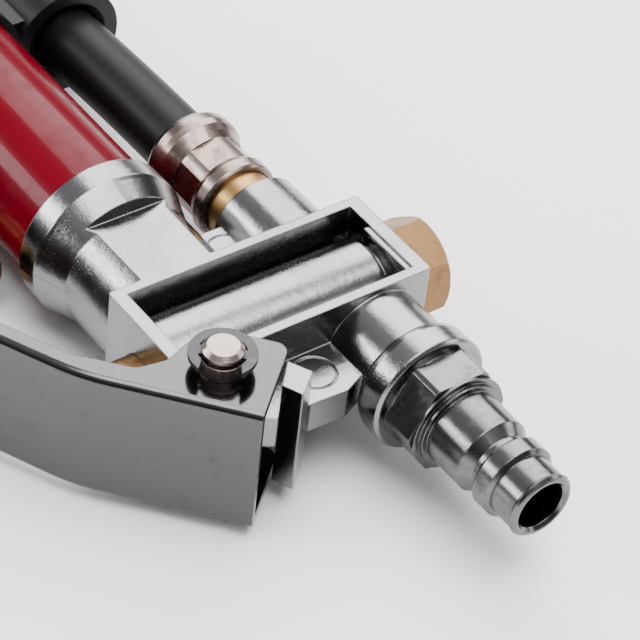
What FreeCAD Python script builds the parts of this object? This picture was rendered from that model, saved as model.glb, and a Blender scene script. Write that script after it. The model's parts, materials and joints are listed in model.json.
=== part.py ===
import FreeCAD, Part
import math
import os

V = FreeCAD.Vector
X_AXIS = V(1, 0, 0)
Y_AXIS = V(0, 1, 0)
Z_AXIS = V(0, 0, 1)

# Everything is drawn first in the casting's own frame: the top face of the open frame is z = 0,
# its rear lever-side corner is x = 0, y = 0, the air inlet points along +X and the valve plug
# along +Y. The last step moves the whole tool onto its stand plane.

# ---- driving dimensions, millimetres ----
FRAME_X = 17.5            # open frame, along the inlet axis
FRAME_Y = 41.0            # open frame, along the valve axis
FRAME_H = 17.4            # full height of the casting's frame
MID_Z = -FRAME_H / 2      # parting plane: every bore axis lies in it
WALL_SIDE = 1.5
WALL_END = 2.1
WEB_T = 5.0               # floor of the frame and the plates beside it
VALVE_X = 8.1             # valve bore axis
AIR_Y = 32.0              # shared axis of inlet boss and hose boss
GAUGE_Y = 10.8            # axis of the gauge tube
BARREL_R = 6.9            # valve barrel seen in the frame's pocket

PIVOT = V(21.0, 3.9, 0)   # lever pivot, a vertical pin
LUG_R = 5.2
PIN_R = 2.85
SHEET_T = 1.4             # lever sheet
LEVER_GAP = 0.25          # flange to casting
LEVER_TOP = LEVER_GAP + SHEET_T
LEVER_BOTTOM = -FRAME_H - LEVER_TOP
CLIP_LIFT = 2.1           # E-clip above the lever flange
CLIP_T = 0.7

TUBE_R = 10.95
TUBE_WALL = 1.3
TUBE_FRONT = -15.9
TUBE_BACK = -138.0
SPIGOT_BACK = -26.5
COLLAR_R = 12.2
COLLAR_BACK = -20.1

HOSE_R = 5.2
FERRULE_BACK = -28.5
STEM_R = 3.2
STEM_OUT = -12.6          # outer end of the push stem
BENCH_GAP = 0.05

# ---- small helpers ----


def rod(x0, x1, radius, y=AIR_Y, z=MID_Z):
    """Solid round bar along X."""
    return Part.makeCylinder(radius, x1 - x0, V(x0, y, z), X_AXIS)


def rod_y(y0, y1, radius, x=VALVE_X, z=MID_Z):
    """Solid round bar along Y."""
    return Part.makeCylinder(radius, y1 - y0, V(x, y0, z), Y_AXIS)


def post(x, y, z0, z1, radius):
    """Solid round bar along Z."""
    return Part.makeCylinder(radius, z1 - z0, V(x, y, z0), Z_AXIS)


def block(x0, x1, y0, y1, z0, z1):
    """Axis-aligned box between two corners."""
    return Part.makeBox(x1 - x0, y1 - y0, z1 - z0, V(x0, y0, z0))


def plate(points, z0, z1):
    """Flat plate: a closed plan outline, given as (x, y) points, raised from z0 to z1."""
    corners = [V(x, y, z0) for x, y in points]
    return Part.Face(Part.makePolygon(corners + corners[:1])).extrude(V(0, 0, z1 - z0))


def turned(profile, y=AIR_Y, z=MID_Z):
    """Lathe part about an axis along X: profile is (x, radius) points, outside and bore."""
    points = [V(x, y, z + radius) for x, radius in profile]
    return Part.Face(Part.makePolygon(points + points[:1])).revolve(V(0, y, z), X_AXIS, 360)


def turned_y(profile, x=VALVE_X, z=MID_Z):
    """Lathe part about an axis along Y: profile is (y, radius) points, outside and bore."""
    points = [V(x, y, z + radius) for y, radius in profile]
    return Part.Face(Part.makePolygon(points + points[:1])).revolve(V(x, 0, z), Y_AXIS, 360)


def hexagon(across_flats, length):
    """Hexagonal bar from the origin along X, with two flats level."""
    corner_r = across_flats / math.sqrt(3)
    angles = [math.radians(60 * k) for k in range(6)]
    ring = [V(0, corner_r * math.cos(a), corner_r * math.sin(a)) for a in angles]
    return Part.Face(Part.makePolygon(ring + ring[:1])).extrude(V(length, 0, 0))


def ring_y(y0, y1, inner, outer, x=VALVE_X):
    """Plain ring about an axis along Y."""
    return rod_y(y0, y1, outer, x).cut(rod_y(y0 - 1, y1 + 1, inner, x))


def seal_ring(centre, axis, mean_r, cord_r):
    """O-ring."""
    return Part.makeTorus(mean_r, cord_r, centre, axis)


def coil_spring(start, end, mean_r, wire_r, turns):
    """Compression spring along the line from start to end, as one swept wire."""
    run = end - start
    pitch = run.Length / turns
    helix = Part.makeHelix(pitch, run.Length, mean_r)
    wire = Part.Wire(helix.Edges)
    disc = Part.makeCircle(wire_r, V(mean_r, 0, 0), Y_AXIS)
    coil = wire.makePipeShell([Part.Wire(disc)], True, True)
    coil.Placement = FreeCAD.Placement(start, FreeCAD.Rotation(Z_AXIS, run))
    return coil


# ---- head casting ----

SOCKET_R = TUBE_R + 0.03
INNER_R = TUBE_R - TUBE_WALL
CHAMBER_R = 4.2
SEAT_Y = 25.5
PLUG_BORE_Y = 36.0
PLUG_BORE_R = 5.25
HOSE_BORE_R = 5.0
HOSE_BOSS_END = -11.4
INLET_BORE_R = 6.3
INLET_FACE = 30.8
INLET_BORE_END = 20.5


def frame_box():
    """Open rectangular frame with a pocket on each face and a floor in its middle."""
    box = block(0, FRAME_X, 0, FRAME_Y, -FRAME_H, 0)
    corners = [e for e in box.Edges if abs(e.tangentAt(0).z) > 0.9]
    box = box.makeFillet(0.5, corners)
    floor = WEB_T / 2
    for z0, z1 in ((MID_Z + floor, 1), (-FRAME_H - 1, MID_Z - floor)):
        box = box.cut(block(WALL_SIDE, FRAME_X - WALL_SIDE, WALL_END, FRAME_Y - WALL_END, z0, z1))
    return box


def valve_barrel():
    """Round valve barrel that lies in the pockets, with a thin rib near the plug end."""
    barrel = rod_y(WALL_END / 2, 37.0, BARREL_R).fuse(rod_y(36.0, 40.0, 5.9))
    rib = block(6.0, FRAME_X - WALL_SIDE / 2, 38.0, 38.8, -FRAME_H + 0.3, -0.3)
    return barrel.fuse(rib)


def gauge_neck():
    """Collar and spigot for the gauge tube, the taper, and the neck cut level with the frame."""
    collar = turned([(COLLAR_BACK, 0), (COLLAR_BACK, COLLAR_R - 0.3), (COLLAR_BACK + 0.3, COLLAR_R),
                     (-16.2, COLLAR_R), (-15.6, COLLAR_R - 0.25), (-11.0, 10.35), (0.8, 10.3),
                     (0.8, 0)], GAUGE_Y)
    level = block(-12.4, 1, GAUGE_Y - 15, GAUGE_Y + 15, 0, 15)
    neck = collar.cut(level).cut(level.translated(V(0, 0, -FRAME_H - 15)))
    neck = neck.cut(rod(COLLAR_BACK - 1, TUBE_FRONT, SOCKET_R, GAUGE_Y))
    return neck.fuse(rod(SPIGOT_BACK, TUBE_FRONT + 1, INNER_R - 0.02, GAUGE_Y))


def inlet_boss():
    """Boss for the air nipple, with its thick collar."""
    return turned([(FRAME_X - 1, 0), (FRAME_X - 1, 7.8), (25.6, 7.8), (25.8, 8.3), (26.5, 8.9),
                   (27.3, 9.1), (30.4, 9.1), (INLET_FACE, 8.7), (INLET_FACE, 0)])


def hose_boss():
    """Boss for the hose fitting, on the far side of the frame from the inlet."""
    return turned([(HOSE_BOSS_END, 0), (HOSE_BOSS_END, 6.6), (HOSE_BOSS_END + 0.7, 7.3), (1, 7.5), (1, 0)])


def side_webs():
    """Plates in the parting plane beside the frame, with round ejector marks."""
    z0 = MID_Z - WEB_T / 2
    z1 = MID_Z + WEB_T / 2
    front = plate([(FRAME_X - 1, 3), (24.0, 6.0), (27.5, 12.0), (26.1, 15.3), (26.4, 21.2),
                   (24.3, 26.0), (FRAME_X - 1, 30.0)], z0, z1)
    rear = plate([(-9.6, 16.0), (1, 13.0), (1, 30.0), (-9.6, 28.0)], z0, z1)
    webs = front.fuse(rear)
    for x, y in ((21.4, 19.3), (-5.2, 23.4)):
        mark = post(x, y, z1 - 0.25, z1 + 1, 3.1).cut(post(x, y, z1 - 1, z1 + 2, 2.8))
        webs = webs.cut(mark)
    return webs


def pivot_lug_and_stop():
    """Upright lug for the pivot pin, and the block beside the lever's end edge."""
    lug = post(PIVOT.x, PIVOT.y, -FRAME_H, 0, LUG_R)
    stop = plate([(22.9, 13.2), (26.3, 9.9), (29.2, 11.3), (26.2, 14.9)], -FRAME_H, 0)
    bridge = plate([(21.0, 14.0), (24.0, 8.0), (27.0, 11.0), (25.0, 16.5)],
                   MID_Z - WEB_T / 2, MID_Z + WEB_T / 2)
    return lug.fuse(stop).fuse(bridge)


def head_casting():
    """The die-cast head in one piece: frame, barrel, bosses, webs, lug and all its bores."""
    cast = frame_box().fuse([valve_barrel(), gauge_neck(), inlet_boss(), hose_boss(), side_webs(),
                             pivot_lug_and_stop()])
    bores = [
        rod_y(-1, 7.0, STEM_R + 0.05),
        rod_y(6.0, 22.5, CHAMBER_R),
        rod_y(22.0, SEAT_Y + 0.5, 2.6),
        rod_y(SEAT_Y, PLUG_BORE_Y + 0.5, CHAMBER_R),
        rod_y(PLUG_BORE_Y, FRAME_Y + 1, PLUG_BORE_R),
        rod(SPIGOT_BACK - 1, VALVE_X, 2.0, GAUGE_Y),
        rod(HOSE_BOSS_END - 1, -2.0, HOSE_BORE_R),
        rod(VALVE_X, INLET_BORE_END + 1, 3.0),
        rod(INLET_BORE_END, INLET_FACE + 1, INLET_BORE_R),
        post(PIVOT.x, PIVOT.y, -FRAME_H - 1, 1, PIN_R + 0.02),
    ]
    drill_from = V(-2.4, AIR_Y, MID_Z)
    drill_to = V(7.0, 16.0, MID_Z)
    bores.append(Part.makeCylinder(1.1, (drill_to - drill_from).Length, drill_from,
                                   drill_to - drill_from))
    for bore in bores:
        cast = cast.cut(bore)
    return cast.removeSplitter()


# ---- air inlet nipple ----

NIPPLE_TIP = 55.1
NIPPLE_BORE_R = 3.6


def inlet_nipple():
    """Quick-coupler nipple: thread, hexagon, round body, latch groove, collar and tip."""
    outline = [
        (21.5, 6.2), (INLET_FACE, 6.2), (INLET_FACE, 8.0), (37.0, 8.0),
        (37.0, 6.6), (37.7, 6.6), (37.7, 5.8), (44.2, 5.8), (45.8, 4.6), (46.9, 4.6),
        (46.9, 5.2), (47.4, 5.65), (49.8, 5.65), (50.3, 5.1), (50.3, 4.85), (54.2, 4.85),
        (54.5, 5.05), (NIPPLE_TIP - 0.2, 4.75), (NIPPLE_TIP, 4.4), (NIPPLE_TIP, 4.1),
        (NIPPLE_TIP - 0.5, NIPPLE_BORE_R), (21.5, NIPPLE_BORE_R),
    ]
    body = turned(outline)
    hexed = hexagon(14.2, 5.2)
    hexed.translate(V(INLET_FACE + 0.5, AIR_Y, MID_Z))
    trimmed = body.common(rod(20, INLET_FACE + 0.5, 7.4).fuse(rod(36.6, NIPPLE_TIP + 1, 7.4)).fuse(hexed)
                          .fuse(rod(INLET_FACE + 5.7, 36.7, 7.2)))
    return trimmed.removeSplitter()


# ---- valve ----

PLUG_END = 48.0
POPPET_Y = SEAT_Y + 0.05


def valve_plug():
    """Brass hexagon plug that closes the valve bore and holds the spring."""
    head = hexagon(13.0, PLUG_END - FRAME_Y - 0.05)
    head.rotate(V(0, 0, 0), X_AXIS, 24)
    head.rotate(V(0, 0, 0), Z_AXIS, 90)
    head.translate(V(VALVE_X, FRAME_Y + 0.05, MID_Z))
    crown = turned_y([(FRAME_Y, 0), (FRAME_Y, 8), (PLUG_END - 1.3, 7.6), (PLUG_END - 0.5, 6.9),
                      (PLUG_END, 6.1), (PLUG_END, 0)])
    shank = rod_y(PLUG_BORE_Y + 1.0, FRAME_Y + 1, PLUG_BORE_R - 0.05)
    return head.common(crown).fuse(shank).cut(rod_y(PLUG_BORE_Y, 43.5, 3.4)).removeSplitter()


def valve_poppet():
    """Disc that closes the seat from the supply side, with a spigot for the spring."""
    disc = rod_y(POPPET_Y + 1.2, POPPET_Y + 3.0, 3.9)
    return disc.fuse(rod_y(POPPET_Y + 2.9, POPPET_Y + 5.0, 1.7)).fuse(rod_y(23.0, POPPET_Y + 1.3, 1.1))


def poppet_seal():
    """Rubber face of the poppet."""
    return ring_y(POPPET_Y, POPPET_Y + 1.15, 1.15, 3.8)


def valve_stem():
    """Brass push stem: the outer guide that the lever presses, and the thin inner rod."""
    return turned_y([(STEM_OUT, 0), (STEM_OUT, 1.0), (STEM_OUT + 0.4, 2.0), (STEM_OUT + 1.3, 2.8),
                     (STEM_OUT + 2.2, STEM_R), (2.4, STEM_R),
                     (2.4, 2.3), (4.2, 2.3), (4.2, STEM_R), (6.2, STEM_R), (6.2, 1.8), (22.95, 1.8),
                     (22.95, 0)])


# ---- lever and pivot ----

LEVER_TIP_X = -96.0
# plan of the lever's outer face, from the pivot end to the far tip, and the bend radius at each corner
LEVER_OUTER = [(31.4, 3.3), (13.0, -12.9), (-6.0, -22.2), (-40.0, -32.5), (LEVER_TIP_X, -38.5)]
LEVER_BENDS = [30.0, 60.0, 70.0]
ARM_FLANGE = 2.8


def offset_line(points, distance):
    """Shift an open plan polyline sideways, towards the head."""
    normals = []
    for (ax, ay), (bx, by) in zip(points, points[1:]):
        length = math.hypot(bx - ax, by - ay)
        normals.append(((by - ay) / length, (ax - bx) / length))
    shifted = []
    for k, (x, y) in enumerate(points):
        one = normals[max(k - 1, 0)]
        two = normals[min(k, len(normals) - 1)]
        share = distance / (1 + one[0] * two[0] + one[1] * two[1])
        shifted.append((x + (one[0] + two[0]) * share, y + (one[1] + two[1]) * share))
    return shifted


def bent_edges(corners, radii):
    """Open path through the corners, with a tangent arc of the given radius at each inner one."""
    edges = []
    start = corners[0]
    for k, radius in enumerate(radii, start=1):
        into = (corners[k] - corners[k - 1]).normalize()
        out = (corners[k + 1] - corners[k]).normalize()
        half = math.acos(max(-1.0, min(1.0, into.dot(out)))) / 2
        trim = radius * math.tan(half)
        begin = corners[k] - into * trim
        finish = corners[k] + out * trim
        apex = corners[k] + (out - into).normalize() * (radius / math.cos(half) - radius)
        edges.append(Part.LineSegment(start, begin).toShape())
        edges.append(Part.Arc(begin, apex, finish).toShape())
        start = finish
    edges.append(Part.LineSegment(start, corners[-1]).toShape())
    return edges


def lever_line(inset, z):
    """Edges of the lever's outer face line, moved in by a distance, at one level."""
    corners = [V(x, y, z) for x, y in offset_line(LEVER_OUTER, inset)]
    return bent_edges(corners, [radius - inset for radius in LEVER_BENDS])


def lever_prism(outside, inside, z0, z1):
    """Solid between two lines that run along the lever's outer face."""
    outer = lever_line(outside, z0)
    inner = lever_line(inside, z0)
    near = Part.LineSegment(outer[0].Vertexes[0].Point, inner[0].Vertexes[0].Point).toShape()
    far = Part.LineSegment(outer[-1].Vertexes[-1].Point, inner[-1].Vertexes[-1].Point).toShape()
    wire = Part.Wire(Part.__sortEdges__(outer + inner + [near, far]))
    return Part.Face(wire).extrude(V(0, 0, z1 - z0))


def pivot_ear(z0, z1):
    """Wide ear of one flange round the pivot, hollowed towards the arm."""
    foot = V(*LEVER_OUTER[1], z0)
    along = (V(*LEVER_OUTER[0], z0) - foot).normalize()
    across = V(-along.y, along.x, 0)
    end = (V(*LEVER_OUTER[0], z0) - foot).Length
    outline = [(1.0, 1.5), (end, 1.5), (end, 14.4), (18.5, 14.4), (11.9, 11.1), (10.1, 6.5),
               (6.6, 3.7), (1.5, 3.7), (-4.0, 3.3), (-4.0, 2.8)]
    corners = [foot + along * run + across * width for run, width in outline]
    edges = bent_edges(corners, [0.1, 1.8, 2.2, 2.0, 2.5, 2.5, 1.0, 0.1])
    edges.append(Part.LineSegment(corners[-1], corners[0]).toShape())
    return Part.Face(Part.Wire(edges)).extrude(V(0, 0, z1 - z0))


def trigger_lever():
    """Channel-section lever: outer web, two flanges, wide ears at the pivot."""
    lever = lever_prism(0.0, ARM_FLANGE, LEVER_BOTTOM, LEVER_TOP)
    rims = [e for e in lever.Edges if e.BoundBox.ZLength < 0.01 and along_outer_face(e)]
    lever = lever.makeFillet(1.2, rims)
    lever = lever.cut(lever_prism(SHEET_T, ARM_FLANGE + 6, LEVER_BOTTOM + SHEET_T, LEVER_GAP))
    for z0 in (LEVER_GAP, LEVER_BOTTOM):
        lever = lever.fuse(pivot_ear(z0, z0 + SHEET_T))
    lever = lever.cut(post(PIVOT.x, PIVOT.y, LEVER_BOTTOM - 1, LEVER_TOP + 1, PIN_R + 0.08))
    return lever.removeSplitter()


def along_outer_face(edge):
    """Whether a level edge of the lever runs along its outer face."""
    line = Part.Wire(lever_line(0.0, edge.BoundBox.ZMin))
    middle = edge.valueAt((edge.FirstParameter + edge.LastParameter) / 2)
    ends = [vertex.Point for vertex in edge.Vertexes]
    return all(line.distToShape(Part.Vertex(point))[0] < 0.02 for point in ends + [middle])


CLIP_Z = LEVER_TOP + CLIP_LIFT
PIN_TOP = CLIP_Z + CLIP_T + 1.2


def pivot_pin():
    """Headed pin: head under the lever, groove near the top for the E-clip."""
    groove_z = CLIP_Z - 0.05
    profile = [(0, LEVER_BOTTOM - 1.3), (3.6, LEVER_BOTTOM - 1.3), (4.1, LEVER_BOTTOM - 0.9),
               (4.1, LEVER_BOTTOM - 0.1), (PIN_R, LEVER_BOTTOM - 0.1), (PIN_R, groove_z),
               (2.0, groove_z), (2.0, groove_z + CLIP_T + 0.1), (PIN_R, groove_z + CLIP_T + 0.1),
               (PIN_R, PIN_TOP - 0.6), (2.2, PIN_TOP), (0, PIN_TOP)]
    points = [V(PIVOT.x + r, PIVOT.y, z) for r, z in profile]
    return Part.Face(Part.makePolygon(points + points[:1])).revolve(PIVOT, Z_AXIS, 360)


def pivot_clip():
    """E-clip: open ring whose mouth points away from the frame, with three inner teeth."""
    ring = post(0, 0, CLIP_Z, CLIP_Z + CLIP_T, 4.6).cut(post(0, 0, CLIP_Z - 1, CLIP_Z + 2, 3.25))
    for angle in (0, 90, 180):
        tooth = block(1.9, 3.6, -0.8, 0.8, CLIP_Z, CLIP_Z + CLIP_T)
        tooth.rotate(V(0, 0, 0), Z_AXIS, angle)
        ring = ring.fuse(tooth)
    mouth = plate([(-2.3, 0), (2.3, 0), (3.1, -6), (-3.1, -6)], CLIP_Z - 1, CLIP_Z + 2)
    ring = ring.cut(mouth.cut(block(-6, 6, -1.0, 6, CLIP_Z - 2, CLIP_Z + 3)))
    ring.rotate(V(0, 0, 0), Z_AXIS, 50)
    ring.translate(V(PIVOT.x, PIVOT.y, 0))
    return ring.cut(post(PIVOT.x, PIVOT.y, CLIP_Z - 1, CLIP_Z + 2, 2.02)).removeSplitter()


# ---- in-line gauge ----

WINDOW_X0 = -106.0
WINDOW_X1 = -84.0
PISTON_X = -29.5
SPRING_STOP_X = -62.0


def gauge_tube():
    """Thin round tube that is the handle and the gauge's barrel, with a reading slot on top."""
    tube = rod(TUBE_BACK, TUBE_FRONT - 0.05, TUBE_R, GAUGE_Y)
    tube = tube.cut(rod(TUBE_BACK - 1, TUBE_FRONT + 1, INNER_R, GAUGE_Y))
    slot = block(WINDOW_X0 + 3.5, WINDOW_X1 - 3.5, GAUGE_Y - 3.5, GAUGE_Y + 3.5, MID_Z + 6, MID_Z + 14)
    slot = slot.fuse([post(x, GAUGE_Y, MID_Z + 6, MID_Z + 14, 3.5)
                      for x in (WINDOW_X0 + 3.5, WINDOW_X1 - 3.5)])
    return tube.cut(slot)


def gauge_window():
    """Clear sleeve inside the tube behind the reading slot."""
    sleeve = rod(WINDOW_X0 - 4, WINDOW_X1 + 4, INNER_R - 0.02, GAUGE_Y)
    return sleeve.cut(rod(WINDOW_X0 - 5, WINDOW_X1 + 5, INNER_R - 0.85, GAUGE_Y))


def gauge_piston():
    """Piston with a groove for its cup seal, and the rod that carries the scale drum."""
    return turned([(PISTON_X + 2, 0), (PISTON_X + 2, 9.2), (PISTON_X + 1, 9.2), (PISTON_X + 1, 7.6),
                   (PISTON_X - 1, 7.6), (PISTON_X - 1, 9.2), (PISTON_X - 3, 9.2), (PISTON_X - 3, 2.5),
                   (-70.0, 2.5), (-70.0, 0)], GAUGE_Y)


def scale_drum():
    """Light drum that shows behind the reading slot as the piston moves."""
    drum = rod(-104.0, -69.95, 8.4, GAUGE_Y).cut(rod(-103.0, -72.0, 7.4, GAUGE_Y))
    return drum.cut(rod(-70.6, -69, 2.52, GAUGE_Y)).cut(rod(-105, -100, 4.0, GAUGE_Y))


def spring_stop():
    """Ring fixed in the tube that the gauge spring works against."""
    ring = rod(SPRING_STOP_X - 2.5, SPRING_STOP_X, INNER_R - 0.03, GAUGE_Y)
    return ring.cut(rod(SPRING_STOP_X - 4, SPRING_STOP_X + 1, 2.8, GAUGE_Y))


def end_cap():
    """Plug and cap at the tube's far end, with a shallow dimple."""
    return turned([(TUBE_BACK + 4, 0), (TUBE_BACK + 4, INNER_R - 0.05), (TUBE_BACK, INNER_R - 0.05),
                   (TUBE_BACK - 0.05, COLLAR_R - 0.4), (TUBE_BACK - 0.5, COLLAR_R),
                   (TUBE_BACK - 8.5, COLLAR_R), (TUBE_BACK - 10, COLLAR_R - 1.6),
                   (TUBE_BACK - 10, 6.5), (TUBE_BACK - 9, 5.0), (TUBE_BACK - 9, 0)], GAUGE_Y)


# ---- hose, its fittings and its clip ----

CLIP_FRONT = -59.0
CLIP_LENGTH = 11.0
FLOOR = MID_Z - COLLAR_R      # lowest point of collar, clip and end cap: the stand plane
HOSE_LIE = FLOOR + HOSE_R + BENCH_GAP
CHUCK_R = 6.0
MOUTH_R = 4.0             # takes a tyre valve's thread
CHUCK_LIE = FLOOR + CHUCK_R + BENCH_GAP
# the free hose: out of the ferrule, through the clip, down to the bench, round one open loop
# behind the tube, and back along the tube to the tyre chuck
HOSE_ROUTE = [
    V(FERRULE_BACK, AIR_Y, MID_Z),
    V(-49.5, AIR_Y, MID_Z),
    V(-90.0, 28.9, MID_Z - 0.3),
    V(-140.8, 50.0, HOSE_LIE),
    V(-201.4, 85.0, HOSE_LIE),
    V(-262.0, 50.0, HOSE_LIE),
    V(-262.0, -20.0, HOSE_LIE),
    V(-201.4, -55.0, HOSE_LIE),
    V(-121.0, -6.8, HOSE_LIE),
    V(-58.0, -6.8, CHUCK_LIE),
]


def hose_fitting():
    """Brass fitting: thread in the boss, a short shoulder, and the tail inside the hose."""
    return turned([(-3.2, 1.9), (-3.2, 4.95), (HOSE_BOSS_END - 0.02, 4.95), (HOSE_BOSS_END - 0.02, 5.5),
                   (-15.2, 5.5), (-15.2, 3.1), (FERRULE_BACK + 0.5, 3.1), (FERRULE_BACK + 0.5, 1.9)])


def hose_ferrule():
    """Crimped ferrule: round at both ends and pressed to a hexagon between."""
    skin = turned([(-14.9, 5.6), (-14.9, 6.2), (-15.3, 6.5), (-16.9, 6.6), (-17.8, 6.15), (-22.8, 6.15),
                   (-24.0, 6.7), (-24.9, 7.25), (-26.0, 7.45), (-27.4, 7.35), (-28.2, 6.9),
                   (FERRULE_BACK, 6.3), (FERRULE_BACK, 3.12), (-15.25, 3.12), (-15.25, 5.6)])
    crimp = hexagon(11.5, 4.9)
    crimp.rotate(V(0, 0, 0), X_AXIS, 12)
    crimp.translate(V(-22.8, AIR_Y, MID_Z))
    keep = crimp.fuse([rod(-30, -22.8, 9), rod(-17.9, -14, 9)])
    return skin.common(keep).removeSplitter()


def hose_clip():
    """Moulded clip: a ring on the gauge tube, a ring round the hose, and a block between."""
    x0 = CLIP_FRONT - CLIP_LENGTH
    lean = HOSE_ROUTE[2] - HOSE_ROUTE[1]
    centre = HOSE_ROUTE[1] + lean * ((x0 + CLIP_LENGTH / 2 - HOSE_ROUTE[1].x) / lean.x)
    lean.normalize()
    body = rod(x0, CLIP_FRONT, COLLAR_R, GAUGE_Y)
    body = body.fuse(rod(x0, CLIP_FRONT, 8.9, centre.y, centre.z))
    body = body.fuse(block(x0 + 1, CLIP_FRONT - 1.2, GAUGE_Y + 6, centre.y - 2, MID_Z - 5.5, MID_Z + 5.5))
    body = body.cut(rod(x0 - 1, CLIP_FRONT + 1, TUBE_R + 0.03, GAUGE_Y))
    body = body.cut(Part.makeCylinder(HOSE_R + 0.3, 2 * CLIP_LENGTH, centre - lean * CLIP_LENGTH, lean))
    flare = Part.makeCone(HOSE_R + 0.3, HOSE_R + 1.5, 1.2, V(CLIP_FRONT - 1.2, centre.y, centre.z), X_AXIS)
    return body.cut(flare).removeSplitter()


def hose_path():
    """Straight runs of the route joined by arcs as large as the runs allow."""
    radii = []
    for before, corner, after in zip(HOSE_ROUTE, HOSE_ROUTE[1:], HOSE_ROUTE[2:]):
        half = (corner - before).getAngle(after - corner) / 2
        radii.append(0.45 * min((corner - before).Length, (after - corner).Length) / math.tan(half))
        print("hose bend radius", round(radii[-1], 1), "turn", round(math.degrees(2 * half), 1))
    return Part.Wire(bent_edges(HOSE_ROUTE, radii))


def air_hose():
    """The hose itself, as one round bar along its route."""
    path = hose_path()
    section = Part.makeCircle(HOSE_R, HOSE_ROUTE[0], HOSE_ROUTE[1] - HOSE_ROUTE[0])
    hose = path.makePipeShell([Part.Wire(section)], True, True)
    expected = path.Length * math.pi * HOSE_R ** 2
    print("hose length", round(path.Length, 1), "volume ratio", round(hose.Volume / expected, 4))
    return hose


# ---- tyre chuck on the hose end ----

CORD_NODES = ("air_hose", "chuck_ferrule", "chuck_body", "chuck_seal", "chuck_core_pin", "chuck_nut")


def place_on_hose_end(shape):
    """Move a part drawn along +X from the origin to the hose's far end."""
    last = HOSE_ROUTE[-1]
    run = last - HOSE_ROUTE[-2]
    shape.rotate(V(0, 0, 0), Z_AXIS, math.degrees(math.atan2(run.y, run.x)))
    shape.translate(last)
    return shape


def chuck_parts():
    """Brass tyre chuck: crimped ferrule, tail, body, rubber seal, core pin and retaining nut."""
    ferrule = turned([(0.02, 3.12), (0.02, 5.6), (0.5, 6.0), (3.0, 6.0), (4.0, 5.7), (9.0, 5.7),
                      (9.8, 6.0), (10.6, 6.0), (11.0, 5.6), (11.0, 5.2), (10.8, 5.2), (10.8, 3.12)], 0, 0)
    body = turned([(0.6, 1.9), (0.6, 3.1), (10.82, 3.1), (10.82, 5.1), (12.5, 5.1), (12.5, 5.9),
                   (19.5, 5.9), (20.3, 5.2), (21.0, 5.2), (21.5, CHUCK_R), (24.5, CHUCK_R),
                   (24.9, 5.4), (26.3, 5.4), (26.7, CHUCK_R), (32.0, CHUCK_R), (32.0, 4.7),
                   (22.5, 4.7), (22.5, 1.9)], 0, 0)
    flats = hexagon(10.6, 7.0)
    flats.translate(V(12.5, 0, 0))
    hex_zone = Part.makeCylinder(9, 7.0, V(12.5, 0, 0), X_AXIS)
    body = body.cut(hex_zone.cut(flats))
    seal = turned([(24.1, 2.6), (24.1, 4.62), (27.9, 4.62), (27.9, 3.1)], 0, 0)
    pin = turned([(22.55, 0), (22.55, 4.6), (24.0, 4.6), (24.0, 1.1), (27.6, 1.1), (27.6, 0)], 0, 0)
    for angle in (0.0, 120.0, 240.0):
        port = Part.makeCylinder(0.7, 3, V(22, 0, 2.6), X_AXIS)
        port.rotate(V(0, 0, 0), X_AXIS, angle)
        pin = pin.cut(port)
    nut = turned([(28.0, MOUTH_R), (28.0, 4.65), (32.05, 4.65), (32.05, 5.7), (33.2, 5.7), (33.8, 5.1),
                  (33.8, 4.5), (33.3, MOUTH_R)], 0, 0)
    shapes = (ferrule, body, seal, pin, nut)
    return {name: place_on_hose_end(shape) for name, shape in zip(CORD_NODES[1:], shapes)}


# ---- the whole tool ----

def build():
    """Every piece of the tool by name, in the casting's frame."""
    pieces = {
        "head_casting": head_casting(),
        "inlet_nipple": inlet_nipple(),
        "valve_plug": valve_plug(),
        "plug_seal": seal_ring(V(VALVE_X, PLUG_BORE_Y + 0.5, MID_Z), Y_AXIS, 4.7, 0.45),
        "valve_spring": coil_spring(V(VALVE_X, POPPET_Y + 3.4, MID_Z), V(VALVE_X, 43.0, MID_Z), 2.6, 0.35, 7),
        "valve_poppet": valve_poppet(),
        "poppet_seal": poppet_seal(),
        "valve_stem": valve_stem(),
        "stem_seal": seal_ring(V(VALVE_X, 3.3, MID_Z), Y_AXIS, 2.72, 0.4),
        "trigger_lever": trigger_lever(),
        "pivot_pin": pivot_pin(),
        "pivot_clip": pivot_clip(),
        "gauge_tube": gauge_tube(),
        "gauge_window": gauge_window(),
        "gauge_piston": gauge_piston(),
        "piston_seal": seal_ring(V(PISTON_X, GAUGE_Y, MID_Z), X_AXIS, 8.5, 0.85),
        "gauge_spring": coil_spring(V(PISTON_X - 3.8, GAUGE_Y, MID_Z), V(SPRING_STOP_X + 0.8, GAUGE_Y, MID_Z),
                                    5.0, 0.7, 6),
        "spring_stop": spring_stop(),
        "scale_drum": scale_drum(),
        "end_cap": end_cap(),
        "hose_fitting": hose_fitting(),
        "hose_ferrule": hose_ferrule(),
        "hose_clip": hose_clip(),
        "air_hose": air_hose(),
    }
    pieces.update(chuck_parts())
    return pieces


def stand_offset(pieces):
    """Move that puts the origin under the middle of the tool, cord left out, on its stand plane."""
    box = FreeCAD.BoundBox()
    for name, shape in pieces.items():
        if name not in CORD_NODES:
            box.add(shape.optimalBoundingBox(False, False))
    return V(-(box.XMin + box.XMax) / 2, -(box.YMin + box.YMax) / 2, -box.ZMin)


def main():
    """Build, place and write every piece."""
    os.makedirs("parts", exist_ok=True)
    pieces = build()
    offset = stand_offset(pieces)
    print("offset", [round(c, 3) for c in offset])
    for name, shape in pieces.items():
        shape.translate(offset)
        shape.exportStep(os.path.join("parts", name + ".step"))
        print(name, "solids", len(shape.Solids), "valid", shape.isValid(), "volume", round(shape.Volume, 1))


main()
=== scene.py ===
"""Looks of a lever-operated tyre inflator gun: its finishes, hose, floor, light and camera."""
import json
import logging
import math
from dataclasses import dataclass, field
from enum import Enum
from typing import Any, Optional, Union

import bpy
from mathutils import Matrix, Vector

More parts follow.
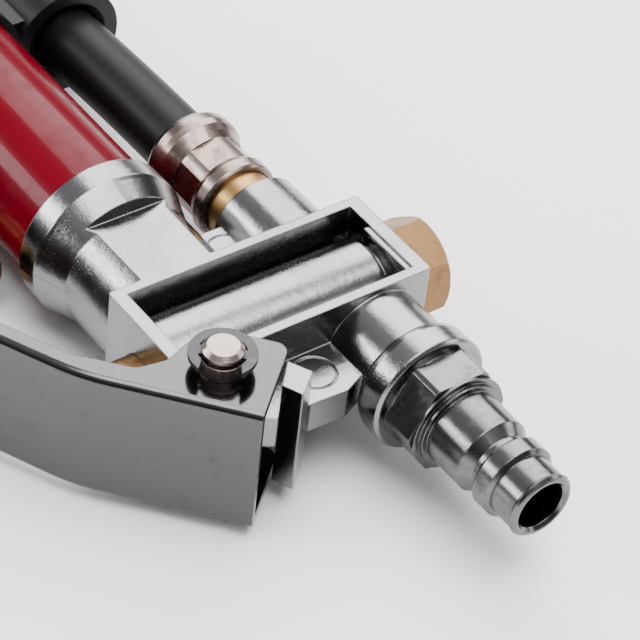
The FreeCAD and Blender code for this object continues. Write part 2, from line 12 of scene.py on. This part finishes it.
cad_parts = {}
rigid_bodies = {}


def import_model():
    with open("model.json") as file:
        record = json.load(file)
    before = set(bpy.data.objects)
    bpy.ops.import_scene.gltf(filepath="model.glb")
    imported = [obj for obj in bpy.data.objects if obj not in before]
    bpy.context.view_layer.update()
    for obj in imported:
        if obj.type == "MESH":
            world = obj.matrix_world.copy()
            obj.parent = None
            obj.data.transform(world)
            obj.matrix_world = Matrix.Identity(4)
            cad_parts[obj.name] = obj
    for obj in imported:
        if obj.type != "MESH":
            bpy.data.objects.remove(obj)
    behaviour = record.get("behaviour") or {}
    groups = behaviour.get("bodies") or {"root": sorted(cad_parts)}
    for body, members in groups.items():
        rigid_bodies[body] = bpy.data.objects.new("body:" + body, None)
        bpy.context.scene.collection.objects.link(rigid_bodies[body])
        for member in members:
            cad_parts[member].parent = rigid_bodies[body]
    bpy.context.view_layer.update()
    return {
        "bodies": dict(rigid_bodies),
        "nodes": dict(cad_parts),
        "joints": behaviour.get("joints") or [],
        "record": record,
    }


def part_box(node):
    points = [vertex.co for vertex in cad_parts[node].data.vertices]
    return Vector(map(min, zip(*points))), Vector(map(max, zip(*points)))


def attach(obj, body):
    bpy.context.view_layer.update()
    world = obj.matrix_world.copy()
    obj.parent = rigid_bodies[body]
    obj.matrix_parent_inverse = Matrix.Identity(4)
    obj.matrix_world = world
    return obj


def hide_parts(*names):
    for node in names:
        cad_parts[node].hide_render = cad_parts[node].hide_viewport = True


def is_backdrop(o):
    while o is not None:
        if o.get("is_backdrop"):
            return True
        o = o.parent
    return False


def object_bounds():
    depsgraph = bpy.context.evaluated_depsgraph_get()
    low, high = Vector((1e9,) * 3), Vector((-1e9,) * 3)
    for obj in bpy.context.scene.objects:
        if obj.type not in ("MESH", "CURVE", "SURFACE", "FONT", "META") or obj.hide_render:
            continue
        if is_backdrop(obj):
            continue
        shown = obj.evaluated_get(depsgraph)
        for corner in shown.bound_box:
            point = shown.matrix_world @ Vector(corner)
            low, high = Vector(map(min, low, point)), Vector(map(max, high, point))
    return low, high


MM = 0.001
LOG = logging.getLogger("inflator")
Colour = tuple[float, float, float]
Place = tuple[float, float, float]
Value = Union["Sock", float]


# ---------------------------------------------------------------- node expressions


class Sock:
    """A shader socket that can be used in arithmetic; each operator adds one Math node."""

    def __init__(self, net: "Graph", socket: Optional[bpy.types.NodeSocket]) -> None:
        """Keep the socket, which an output node lacks, and the graph it belongs to."""
        self.net = net
        self.socket = socket

    def _math(self, operation: str, first: Value, second: Value = 0.0, clamp: bool = False) -> "Sock":
        """Add a Math node.

        Args:
            operation: the node's operation.
            first: first value or socket.
            second: second value or socket.
            clamp: keep the result between 0 and 1.

        Returns:
            The result's socket.
        """
        settings = {"operation": operation, "use_clamp": clamp}
        return self.net.make("ShaderNodeMath", settings, {0: first, 1: second})

    def __add__(self, other: Value) -> "Sock":
        """self + other."""
        return self._math("ADD", self, other)

    def __radd__(self, other: Value) -> "Sock":
        """other + self."""
        return self._math("ADD", other, self)

    def __sub__(self, other: Value) -> "Sock":
        """self - other."""
        return self._math("SUBTRACT", self, other)

    def __rsub__(self, other: Value) -> "Sock":
        """other - self."""
        return self._math("SUBTRACT", other, self)

    def __mul__(self, other: Value) -> "Sock":
        """self * other."""
        return self._math("MULTIPLY", self, other)

    def __rmul__(self, other: Value) -> "Sock":
        """other * self."""
        return self._math("MULTIPLY", other, self)

    def __truediv__(self, other: Value) -> "Sock":
        """self / other."""
        return self._math("DIVIDE", self, other)

    def __rtruediv__(self, other: Value) -> "Sock":
        """other / self."""
        return self._math("DIVIDE", other, self)

    def __lt__(self, other: Value) -> "Sock":
        """1 where self is below other."""
        return self._math("LESS_THAN", self, other)

    def __abs__(self) -> "Sock":
        """Size without sign."""
        return self._math("ABSOLUTE", self)

    def clamp(self) -> "Sock":
        """Kept between 0 and 1."""
        return self._math("ADD", self, 0.0, clamp=True)

    def wrap(self, period: float) -> "Sock":
        """Distance to the nearest multiple of a period."""
        return self._math("PINGPONG", self, period / 2)

    def step(self, low: float, high: float) -> "Sock":
        """Smooth step from 0 at low to 1 at high."""
        return self.net.make(
            "ShaderNodeMapRange",
            {"interpolation_type": "SMOOTHSTEP"},
            {"Value": self, "From Min": low, "From Max": high},
        )


class Graph:
    """The nodes of one shader tree."""

    def __init__(self, owner: Union[bpy.types.Material, bpy.types.World]) -> None:
        """Empty the shader tree of a material or of the surround."""
        owner.use_nodes = True
        self.tree = owner.node_tree
        self.tree.nodes.clear()

    def make(
        self,
        kind: str,
        settings: Optional[dict[str, Any]] = None,
        values: Optional[dict[Union[str, int], Any]] = None,
        out: Union[str, int] = 0,
    ) -> Sock:
        """Add one node.

        Args:
            kind: the node's type.
            settings: its properties, set first; "stops" gives a colour ramp's places and colours.
            values: values or sockets for its inputs.
            out: which output to hand back.

        Returns:
            The chosen output, with no socket where the node has none.
        """
        node = self.tree.nodes.new(kind)
        for key, value in (settings or {}).items():
            if key == "stops":
                self._fill_ramp(node.color_ramp, value)
            else:
                setattr(node, key, value)
        for key, value in (values or {}).items():
            if isinstance(value, Sock):
                self.tree.links.new(value.socket, node.inputs[key])
            else:
                node.inputs[key].default_value = value
        return Sock(self, node.outputs[out] if len(node.outputs) else None)

    @staticmethod
    def _fill_ramp(ramp: bpy.types.ColorRamp, stops: list[tuple[float, Colour]]) -> None:
        """Give a colour ramp its stops."""
        while len(ramp.elements) < len(stops):
            ramp.elements.new(0.5)
        for element, (place, colour) in zip(ramp.elements, stops):
            element.position = place
            element.color = (*colour, 1.0)


class Net(Graph):
    """The nodes of one material, and the patterns that its finish is made of."""

    def __init__(self, name: str) -> None:
        """Start an empty material with the given name."""
        self.material = bpy.data.materials.new(name)
        super().__init__(self.material)

    def place(self) -> Sock:
        """Position in the tool's own frame, in metres."""
        return self.make("ShaderNodeTexCoord", out="Object")

    def stretched(self, scale: Place) -> Sock:
        """Position scaled differently along each axis.

        Args:
            scale: factor along X, Y and Z.

        Returns:
            The scaled position.
        """
        return self.make("ShaderNodeVectorMath", {"operation": "MULTIPLY"}, {0: self.place(), 1: scale})

    def axis(self, name: str) -> Sock:
        """One coordinate of the position, in metres."""
        return self.make("ShaderNodeSeparateXYZ", values={"Vector": self.place()}, out=name)

    def noise(
        self, size: float, detail: float = 4.0, roughness: float = 0.55, at: Optional[Sock] = None
    ) -> Sock:
        """Cloudy variation between 0 and 1.

        Args:
            size: rough size of its blotches in metres.
            detail: octaves.
            roughness: strength of the finer octaves.
            at: position, the plain one if none is given.

        Returns:
            The noise's value.
        """
        values = {"Vector": at or self.place(), "Scale": 1.0 / size, "Detail": detail, "Roughness": roughness}
        return self.make("ShaderNodeTexNoise", {"noise_dimensions": "3D"}, values, "Fac")

    def cells(self, size: float) -> Sock:
        """Distance from the middle of packed cells, for pits."""
        values = {"Vector": self.place(), "Scale": 1.0 / size}
        return self.make("ShaderNodeTexVoronoi", values=values, out="Distance")

    def blend(self, factor: Value, low: Union[Colour, Sock], high: Union[Colour, Sock]) -> Sock:
        """Mix two colours.

        Args:
            factor: 0 for the first, 1 for the second.
            low: first colour.
            high: second colour.

        Returns:
            The mixed colour.
        """
        ends = {6: self._four(low), 7: self._four(high)}
        return self.make("ShaderNodeMix", {"data_type": "RGBA"}, {0: factor, **ends}, 2)

    def soft_edges(self, radius: float) -> Sock:
        """Normal that rounds the sharp edges by a small radius."""
        return self.make("ShaderNodeBevel", {"samples": 6}, {"Radius": radius})

    def bump(self, height: Sock, depth: float, normal: Optional[Sock] = None) -> Sock:
        """Raise the surface.

        Args:
            height: height between 0 and 1.
            depth: how deep 1 is, in metres.
            normal: normal to start from.

        Returns:
            The bent normal.
        """
        values: dict[Union[str, int], Any] = {"Height": height, "Distance": depth, "Strength": 1.0}
        if normal is not None:
            values["Normal"] = normal
        return self.make("ShaderNodeBump", values=values)

    def finish(self, **inputs: Any) -> bpy.types.Material:
        """Close the material with a Principled shader.

        Args:
            inputs: its inputs, with an underscore for each space in their names.

        Returns:
            The material.
        """
        values = {name.replace("_", " "): self._four(value) for name, value in inputs.items()}
        shader = self.make("ShaderNodeBsdfPrincipled", values=values)
        self.make("ShaderNodeOutputMaterial", values={"Surface": shader})
        return self.material

    @staticmethod
    def _four(value: Any) -> Any:
        """A colour with its alpha, or the value unchanged."""
        return (*value, 1.0) if isinstance(value, tuple) and len(value) == 3 else value


# ---------------------------------------------------------------- finishes


class Slot(Enum):
    """Material slots of the record that the pieces take their finish from."""

    CASTING = "chromed_casting"
    NICKEL = "dark_nickel"
    BRASS = "bare_brass"
    SHEET = "chromed_sheet"
    PIN = "pin_steel"
    OXIDE = "black_oxide"
    RED = "red_gloss"
    CRIMP = "crimp_nickel"
    HOSE = "hose_rubber"
    MOULDING = "black_moulding"
    CLEAR = "clear_sleeve"
    SCALE = "scale_white"
    SEAL = "seal_rubber"
    WIRE = "spring_wire"


@dataclass(frozen=True)
class ChromedCasting:
    """Bright chrome over a die casting: the casting's orange peel and pits show through the plate."""

    plate: Colour = (0.225, 0.225, 0.231)
    thin: Colour = (0.13, 0.13, 0.135)
    peel: float = 1.4 * MM
    peel_depth: float = 0.035 * MM
    pit: float = 0.45 * MM
    patch: float = 9 * MM
    grain_depth: float = 0.014 * MM
    edge: float = 0.35 * MM
    parting_height: float = 0.0
    seam: tuple[float, float] = (0.03 * MM, 0.14 * MM)

    def build(self) -> bpy.types.Material:
        """Make the material."""
        net = Net("chromed casting")
        peel = net.noise(self.peel, 3.0)
        fine = net.noise(self.pit * 0.5, 5.0, 0.7)
        pits = 1.0 - net.cells(self.pit).step(0.05, 0.32)
        patch = net.noise(self.patch, 3.0).step(0.42, 0.66)
        pitted = pits * patch
        seam = 1.0 - abs(net.axis("Z") - self.parting_height).step(*self.seam)
        rounded = net.soft_edges(self.edge)
        waves = net.bump(peel, self.peel_depth, rounded)
        grain = net.bump(fine - pitted * 0.9 + seam * 1.5, self.grain_depth, waves)
        colour = net.blend((pitted * 0.5 + patch * 0.18).clamp(), self.plate, self.thin)
        rough = 0.11 + fine * 0.10 + pitted * 0.22 + patch * 0.05
        return net.finish(Base_Color=colour, Metallic=1.0, Roughness=rough.clamp(), Normal=grain)


@dataclass(frozen=True)
class PlatedSheet:
    """Bright chrome over pressed sheet: smooth, with faint drawing lines and rub marks."""

    plate: Colour = (0.088, 0.088, 0.090)
    rubbed: Colour = (0.050, 0.050, 0.052)
    line: float = 1.0 * MM
    line_depth: float = 0.010 * MM
    wave: float = 7 * MM
    wave_depth: float = 0.10 * MM
    rub: float = 2.2 * MM
    edge: float = 0.25 * MM

    def build(self) -> bpy.types.Material:
        """Make the material."""
        net = Net("chromed sheet")
        lines = net.noise(self.line, 5.0, 0.6, net.stretched((0.12, 1.0, 1.4)))
        waves = net.noise(self.wave, 2.0)
        rub = net.noise(self.rub, 6.0, 0.7).step(0.55, 0.75)
        normal = net.bump(waves, self.wave_depth, net.soft_edges(self.edge))
        normal = net.bump(lines + rub * 0.3, self.line_depth, normal)
        colour = net.blend((rub * 0.5 + lines * 0.15).clamp(), self.plate, self.rubbed)
        rough = 0.10 + lines * 0.07 + rub * 0.12
        return net.finish(Base_Color=colour, Metallic=1.0, Roughness=rough, Normal=normal)


@dataclass(frozen=True)
class Turned:
    """Machined metal with the fine rings that a lathe tool leaves."""

    name: str
    bright: Colour
    dull: Colour
    roughness: float
    groove: float = 0.16 * MM
    depth: float = 0.006 * MM
    edge: float = 0.18 * MM
    stain: float = 0.5
    stain_size: float = 2.6 * MM
    speck: float = 0.35 * MM
    wander: float = 0.08 * MM
    axis: str = "X"

    def build(self) -> bpy.types.Material:
        """Make the material."""
        net = Net(self.name)
        along = net.axis(self.axis)
        wander = net.noise(1.5 * MM, 3.0)
        rings = (along + wander * self.wander).wrap(self.groove) / (self.groove / 2)
        stain = net.noise(self.stain_size, 6.0, 0.65).step(0.46, 0.72)
        specks = net.noise(self.speck, 3.0, 0.6)
        normal = net.bump(rings * 0.7 + specks * 0.6, self.depth, net.soft_edges(self.edge))
        colour = net.blend((stain * self.stain + specks * 0.12).clamp(), self.bright, self.dull)
        rough = self.roughness + stain * 0.14 + specks * 0.08
        return net.finish(Base_Color=colour, Metallic=1.0, Roughness=rough.clamp(), Normal=normal)


@dataclass(frozen=True)
class GlossRed:
    """Glossy red coat on the gauge tube, with a little orange peel and handling haze."""

    coat: Colour = (0.108, 0.0004, 0.0062)
    deep: Colour = (0.062, 0.0002, 0.0036)
    peel: float = 1.2 * MM
    peel_depth: float = 0.020 * MM
    haze: float = 5 * MM
    dust: float = 0.25 * MM
    edge: float = 0.2 * MM

    def build(self) -> bpy.types.Material:
        """Make the material."""
        net = Net("red gloss coat")
        peel = net.noise(self.peel, 2.0)
        haze = net.noise(self.haze, 5.0, 0.6).step(0.45, 0.75)
        dust = net.noise(self.dust, 2.0).step(0.68, 0.80)
        normal = net.bump(peel, self.peel_depth, net.soft_edges(self.edge))
        colour = net.blend((haze * 0.30 + dust * 0.15).clamp(), self.coat, self.deep)
        return net.finish(
            Base_Color=colour,
            Roughness=0.22 + haze * 0.10 + dust * 0.15,
            Normal=normal,
            Coat_Weight=0.16 - haze * 0.08,
            Coat_Roughness=0.05,
            Specular_IOR_Level=0.06,
        )


@dataclass(frozen=True)
class Moulded:
    """Black rubber or plastic out of a mould, with flow marks and dusty high spots."""

    name: str
    base: Colour
    dusty: Colour
    roughness: float
    grain: float
    depth: float
    flow: float = 6 * MM
    flow_depth: float = 0.03 * MM
    dust: float = 1.8 * MM
    edge: float = 0.3 * MM

    def build(self) -> bpy.types.Material:
        """Make the material."""
        net = Net(self.name)
        grain = net.noise(self.grain, 5.0, 0.65)
        flow = net.noise(self.flow, 3.0, 0.5, net.stretched((0.35, 1.0, 1.0)))
        dust = net.noise(self.dust, 6.0, 0.7).step(0.54, 0.80)
        normal = net.bump(grain, self.depth, net.soft_edges(self.edge))
        normal = net.bump(flow, self.flow_depth, normal)
        colour = net.blend((dust * 0.45 + flow * 0.12).clamp(), self.base, self.dusty)
        rough = self.roughness + dust * 0.14 + grain * 0.10
        return net.finish(
            Base_Color=colour, Roughness=rough.clamp(), Normal=normal, Specular_IOR_Level=0.16
        )


@dataclass(frozen=True)
class BlackOxide:
    """Spring steel with black oxide, rubbed brighter in places."""

    base: Colour = (0.045, 0.045, 0.048)
    rubbed: Colour = (0.24, 0.24, 0.25)
    rub: float = 0.9 * MM
    grain: float = 0.15 * MM
    grain_depth: float = 0.006 * MM
    edge: float = 0.1 * MM

    def build(self) -> bpy.types.Material:
        """Make the material."""
        net = Net("black oxide")
        rub = net.noise(self.rub, 6.0, 0.7).step(0.55, 0.78)
        grain = net.noise(self.grain, 3.0)
        normal = net.bump(grain, self.grain_depth, net.soft_edges(self.edge))
        colour = net.blend(rub * 0.6, self.base, self.rubbed)
        rough = 0.30 + grain * 0.12 - rub * 0.06
        return net.finish(Base_Color=colour, Metallic=0.8, Roughness=rough, Normal=normal)


@dataclass(frozen=True)
class ScalePaint:
    """White drum with plain black graduation rings, every fifth one thick."""

    ground: Colour = (0.82, 0.81, 0.77)
    aged: Colour = (0.72, 0.68, 0.58)
    ink: Colour = (0.03, 0.03, 0.03)
    pitch: float = 1.5 * MM
    fine: float = 0.15 * MM
    thick: float = 0.35 * MM
    thick_every: int = 5

    def build(self) -> bpy.types.Material:
        """Make the material."""
        net = Net("scale drum")
        along = net.axis("X")
        fine = along.wrap(self.pitch) < self.fine
        thick = along.wrap(self.pitch * self.thick_every) < self.thick
        marks = (fine + thick).clamp()
        yellowing = net.noise(4 * MM, 4.0).step(0.4, 0.8)
        paint = net.blend(yellowing * 0.3, self.ground, self.aged)
        normal = net.bump(net.noise(0.3 * MM), 0.006 * MM)
        inked = net.blend(marks, paint, self.ink)
        return net.finish(Base_Color=inked, Roughness=0.32 + yellowing * 0.15, Normal=normal)


@dataclass(frozen=True)
class ClearSleeve:
    """Clear moulded window with faint scuffs."""

    tint: Colour = (0.93, 0.96, 0.96)
    scuffed: Colour = (0.80, 0.82, 0.82)

    def build(self) -> bpy.types.Material:
        """Make the material."""
        net = Net("clear sleeve")
        scuff = net.noise(0.8 * MM, 6.0, 0.75).step(0.55, 0.80)
        colour = net.blend(scuff * 0.3, self.tint, self.scuffed)
        normal = net.bump(scuff, 0.004 * MM)
        return net.finish(
            Base_Color=colour,
            Roughness=0.05 + scuff * 0.20,
            Normal=normal,
            Transmission_Weight=0.92,
            IOR=1.49,
        )


BRASS = Turned("bare brass", (0.38, 0.22, 0.088), (0.21, 0.112, 0.042), 0.30, stain=0.55)
BRASS_PLUG = Turned("bare brass across", (0.24, 0.135, 0.06), (0.13, 0.066, 0.027), 0.34, axis="Y")
NICKEL = Turned("dark nickel", (0.145, 0.137, 0.137), (0.055, 0.051, 0.051), 0.14)
PIN = Turned("plated pin", (0.33, 0.27, 0.25), (0.16, 0.125, 0.112), 0.20, groove=0.22 * MM, axis="Z")
CRIMP = Turned("plated ferrule", (0.25, 0.20, 0.182), (0.10, 0.068, 0.058), 0.20, groove=0.3 * MM, stain=0.6)
WIRE = Turned("spring wire", (0.60, 0.60, 0.61), (0.35, 0.35, 0.36), 0.22, groove=0.1 * MM, stain=0.4)
SEAL = Moulded("seal rubber", (0.045, 0.046, 0.036), (0.12, 0.12, 0.10), 0.55, 0.25 * MM, 0.012 * MM)
HOSE = Moulded("hose rubber", (0.004, 0.004, 0.0043), (0.014, 0.014, 0.014), 0.40, 0.5 * MM, 0.014 * MM)
MOULDING = Moulded("black moulding", (0.005, 0.005, 0.0055), (0.02, 0.02, 0.02), 0.36, 0.32 * MM, 0.012 * MM)

FINISH_OF: dict[Slot, Any] = {
    Slot.CASTING: ChromedCasting(),
    Slot.NICKEL: NICKEL,
    Slot.BRASS: BRASS,
    Slot.SHEET: PlatedSheet(),
    Slot.PIN: PIN,
    Slot.OXIDE: BlackOxide(),
    Slot.RED: GlossRed(),
    Slot.CRIMP: CRIMP,
    Slot.HOSE: HOSE,
    Slot.MOULDING: MOULDING,
    Slot.CLEAR: ClearSleeve(),
    Slot.SCALE: ScalePaint(),
    Slot.SEAL: SEAL,
    Slot.WIRE: WIRE,
}


class Paintbox:
    """Makes each finish once and puts it on pieces."""

    def __init__(self, parting_height: float) -> None:
        """Start empty.

        Args:
            parting_height: height of the casting's parting plane.
        """
        self.made: dict[Any, bpy.types.Material] = {}
        self.finish_of = dict(FINISH_OF)
        self.finish_of[Slot.CASTING] = ChromedCasting(parting_height=parting_height)

    def material(self, finish: Any) -> bpy.types.Material:
        """The material of a finish, made on first use."""
        if finish not in self.made:
            self.made[finish] = finish.build()
        return self.made[finish]

    def dress(self, piece: bpy.types.Object, finish: Any) -> None:
        """Put a finish on a piece.

        Args:
            piece: a frame node or a piece made here.
            finish: the finish.
        """
        if not piece.data.materials:
            piece.data.materials.append(None)
        for slot in piece.material_slots:
            slot.material = self.material(finish)


# ---------------------------------------------------------------- sub-assemblies


@dataclass
class Datum:
    """The casting's corner that the tool is laid out from, found from the casting's box."""

    frame_width: float = 41.1 * MM
    inlet_face: float = 30.8 * MM
    origin: Vector = field(init=False)

    def __post_init__(self) -> None:
        """Find the corner, the parting plane and the bench."""
        low, high = (Vector(corner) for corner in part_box("head_casting"))
        self.parting = (low.z + high.z) / 2
        self.origin = Vector((high.x - self.inlet_face, high.y - self.frame_width, self.parting))
        self.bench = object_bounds()[0][2]

    def point(self, x: float, y: float, z: float = 0.0) -> Vector:
        """A point given in millimetres from the corner, with z from the parting plane."""
        return self.origin + Vector((x, y, z)) * MM


@dataclass
class SubAssembly:
    """A group of frame nodes with the finishes they take."""

    frame: dict[str, Any]
    paint: Paintbox
    title: str
    slots: dict[str, Slot]
    special: dict[str, Any] = field(default_factory=dict)

    def build(self) -> None:
        """Dress every node of the group."""
        for name, slot in self.slots.items():
            finish = self.special.get(name, self.paint.finish_of[slot])
            self.paint.dress(self.frame["nodes"][name], finish)
            LOG.info("%s: %s in %s", self.title, name, slot.value)


@dataclass
class AirHose:
    """The free hose, from the ferrule through the clip and round to the chuck."""

    frame: dict[str, Any]
    paint: Paintbox
    datum: Datum
    radius: float = 5.2
    length: float = 0.528
    clip_height: float = -0.3
    chuck_radius: float = 6.0
    bench_gap: float = 0.05

    def route(self) -> list[Vector]:
        """The points that steer the hose, in order from the ferrule."""
        bench = (self.datum.bench - self.datum.parting) / MM
        lie = bench + self.radius + self.bench_gap
        end = bench + self.chuck_radius + self.bench_gap
        plan = [
            (-28.5, 32.0, 0.0),
            (-49.5, 32.0, 0.0),
            (-90.0, 28.9, self.clip_height),
            (-140.8, 50.0, lie),
            (-201.4, 85.0, lie),
            (-262.0, 50.0, lie),
            (-262.0, -20.0, lie),
            (-201.4, -55.0, lie),
            (-121.0, -6.8, lie),
            (-58.0, -6.8, end),
        ]
        return [self.datum.point(*place) for place in plan]

    def build(self) -> bpy.types.Object:
        """Returns:
            The hose.
        """
        points = self.route()
        line = bpy.data.curves.new("air hose", "CURVE")
        line.dimensions = "3D"
        line.bevel_depth = self.radius * MM
        line.bevel_resolution = 10
        line.resolution_u = 24
        line.use_fill_caps = True
        spline = line.splines.new("NURBS")
        spline.points.add(len(points) - 1)
        for knot, place in zip(spline.points, points):
            knot.co = (*place, 1.0)
        spline.order_u = 3
        spline.use_endpoint_u = True
        hose = bpy.data.objects.new("hose", line)
        bpy.context.collection.objects.link(hose)
        self.paint.dress(hose, HOSE)
        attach(hose, "tool")
        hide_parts("air_hose")
        LOG.info("hose: %.3f m on %d points", self.length, len(points))
        return hose


CHUCK_NODES = ("chuck_ferrule", "chuck_body", "chuck_seal", "chuck_core_pin", "chuck_nut")


# ---------------------------------------------------------------- floor, light and camera


@dataclass(frozen=True)
class Lamp:
    """One soft rectangular lamp: where it hangs from the head, its size in metres and its watts."""

    name: str
    place: Place
    size: tuple[float, float]
    power: float


LAMPS = (
    Lamp("back softbox", (-0.50, 0.40, 0.56), (0.75, 0.6), 10.5),
    Lamp("top softbox", (0.10, 0.05, 0.90), (0.8, 0.8), 15.0),
    Lamp("front strip", (-0.46, -0.57, 0.33), (0.70, 0.22), 6.0),
    Lamp("side strip", (0.30, 0.75, 0.30), (0.5, 0.25), 1.8),
)

# brightness of the surround, from the horizon at 0 to straight up at 1
SKY_STOPS = [
    (0.0, (1.5, 1.5, 1.5)),
    (0.06, (1.1, 1.1, 1.1)),
    (0.16, (0.06, 0.06, 0.065)),
    (0.5, (0.2, 0.2, 0.21)),
    (0.9, (0.8, 0.8, 0.8)),
]


@dataclass
class Studio:
    """Plain pale floor, soft light and the camera, whose angles are in degrees."""

    datum: Datum
    azimuth: float = 49.76
    elevation: float = 41.92
    roll: float = 7.03
    distance: float = 0.39856
    lens: float = 168.8
    nearest: float = 0.01
    looks_at: Place = (18.43, 21.61, 8.6)
    lamps_face: Place = (15.0, 20.0, 0.0)
    floor_reach: float = 3.0

    def axes(self) -> tuple[Vector, Vector, Vector]:
        """The camera's right, up and back directions."""
        turn, lift, roll = (math.radians(a) for a in (self.azimuth, self.elevation, self.roll))
        level_out = Vector((math.sin(turn), -math.cos(turn), 0.0))
        back = level_out * math.cos(lift) + Vector((0.0, 0.0, math.sin(lift)))
        level = Vector((math.cos(turn), math.sin(turn), 0.0))
        upright = back.cross(level)
        right = level * math.cos(roll) + upright * math.sin(roll)
        return right, back.cross(right), back

    def camera(self) -> bpy.types.Object:
        """Place the camera and make it the scene's own.

        Returns:
            The camera.
        """
        right, up, back = self.axes()
        place = self.datum.point(*self.looks_at) + back * self.distance
        data = bpy.data.cameras.new("camera")
        data.lens = self.lens
        data.clip_start = self.nearest
        camera = bpy.data.objects.new("camera", data)
        camera.matrix_world = Matrix(
            [[right[i], up[i], back[i], place[i]] for i in range(3)] + [[0.0, 0.0, 0.0, 1.0]]
        )
        bpy.context.collection.objects.link(camera)
        bpy.context.scene.camera = camera
        return camera

    def floor(self) -> bpy.types.Object:
        """Lay the plain pale floor.

        Returns:
            The floor.
        """
        far = self.floor_reach
        mesh = bpy.data.meshes.new("floor")
        sides = ((-far, -far), (far, -far), (far, far), (-far, far))
        corners = [(x, y, self.datum.bench) for x, y in sides]
        mesh.from_pydata(corners, [], [(0, 1, 2, 3)])
        floor = bpy.data.objects.new("floor", mesh)
        bpy.context.collection.objects.link(floor)
        net = Net("pale floor")
        cloud = net.noise(0.4, 2.0)
        colour = net.blend(cloud * 0.2, (0.96, 0.96, 0.96), (0.94, 0.94, 0.94))
        matt = net.finish(Base_Color=colour, Roughness=0.9 + cloud * 0.05, Specular_IOR_Level=0.1)
        mesh.materials.append(matt)
        floor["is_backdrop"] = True
        return floor

    def hang(self, lamp: Lamp) -> None:
        """Hang one lamp so that it faces the head.

        Args:
            lamp: the lamp.
        """
        data = bpy.data.lights.new(lamp.name, "AREA")
        data.shape = "RECTANGLE"
        data.size, data.size_y = lamp.size
        data.energy = lamp.power
        away = Vector(lamp.place)
        light = bpy.data.objects.new(lamp.name, data)
        light.location = self.datum.point(*self.lamps_face) + away
        light.rotation_euler = (-away).to_track_quat("-Z", "Y").to_euler()
        bpy.context.collection.objects.link(light)
        light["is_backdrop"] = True

    def sky(self) -> None:
        """Surround that is bright at the horizon and overhead, with a dark band between."""
        world = bpy.data.worlds.new("surround")
        bpy.context.scene.world = world
        graph = Graph(world)
        way = graph.make("ShaderNodeTexCoord", out="Generated")
        height = graph.make("ShaderNodeSeparateXYZ", values={"Vector": way}, out="Z")
        ramp = graph.make("ShaderNodeValToRGB", {"stops": SKY_STOPS}, {"Fac": height}, "Color")
        glow = graph.make("ShaderNodeBackground", values={"Color": ramp, "Strength": 1.0})
        graph.make("ShaderNodeOutputWorld", values={"Surface": glow})

    def build(self) -> None:
        """Set out floor, lamps, surround and camera."""
        self.floor()
        for lamp in LAMPS:
            self.hang(lamp)
            LOG.info("studio: %s of %.1f W", lamp.name, lamp.power)
        self.sky()
        self.camera()
        LOG.info("studio: floor, %d lamps, surround and camera", len(LAMPS))


def sub_assemblies(frame: dict[str, Any], paint: Paintbox) -> list[SubAssembly]:
    """The tool's groups of frame nodes.

    Args:
        paint: the finishes.

    Returns:
        The groups in the order they are dressed.
    """
    head = {"head_casting": Slot.CASTING, "inlet_nipple": Slot.NICKEL}
    valve = {
        "valve_plug": Slot.BRASS,
        "plug_seal": Slot.SEAL,
        "valve_spring": Slot.WIRE,
        "valve_poppet": Slot.BRASS,
        "poppet_seal": Slot.SEAL,
        "valve_stem": Slot.BRASS,
        "stem_seal": Slot.SEAL,
    }
    lever = {"trigger_lever": Slot.SHEET, "pivot_pin": Slot.PIN, "pivot_clip": Slot.OXIDE}
    gauge = {
        "gauge_tube": Slot.RED,
        "gauge_window": Slot.CLEAR,
        "gauge_piston": Slot.BRASS,
        "piston_seal": Slot.SEAL,
        "gauge_spring": Slot.WIRE,
        "spring_stop": Slot.BRASS,
        "scale_drum": Slot.SCALE,
        "end_cap": Slot.MOULDING,
    }
    hose = {"hose_fitting": Slot.BRASS, "hose_ferrule": Slot.CRIMP, "hose_clip": Slot.MOULDING}
    chuck = {name: Slot.SEAL if name == "chuck_seal" else Slot.BRASS for name in CHUCK_NODES}
    across = {"valve_plug": BRASS_PLUG, "valve_stem": BRASS_PLUG, "valve_poppet": BRASS_PLUG}
    return [
        SubAssembly(frame, paint, "head", head),
        SubAssembly(frame, paint, "valve", valve, across),
        SubAssembly(frame, paint, "lever", lever),
        SubAssembly(frame, paint, "gauge", gauge),
        SubAssembly(frame, paint, "hose fittings", hose),
        SubAssembly(frame, paint, "tyre chuck", chuck),
    ]


def main() -> None:
    """Load the frame, dress it, and add the hose and the studio."""
    logging.basicConfig(level=logging.INFO, format="%(message)s")
    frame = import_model()
    datum = Datum()
    paint = Paintbox(datum.parting)
    for group in sub_assemblies(frame, paint):
        group.build()
    AirHose(frame, paint, datum).build()
    Studio(datum).build()
    bpy.context.view_layer.update()


if __name__ == "__main__":
    main()
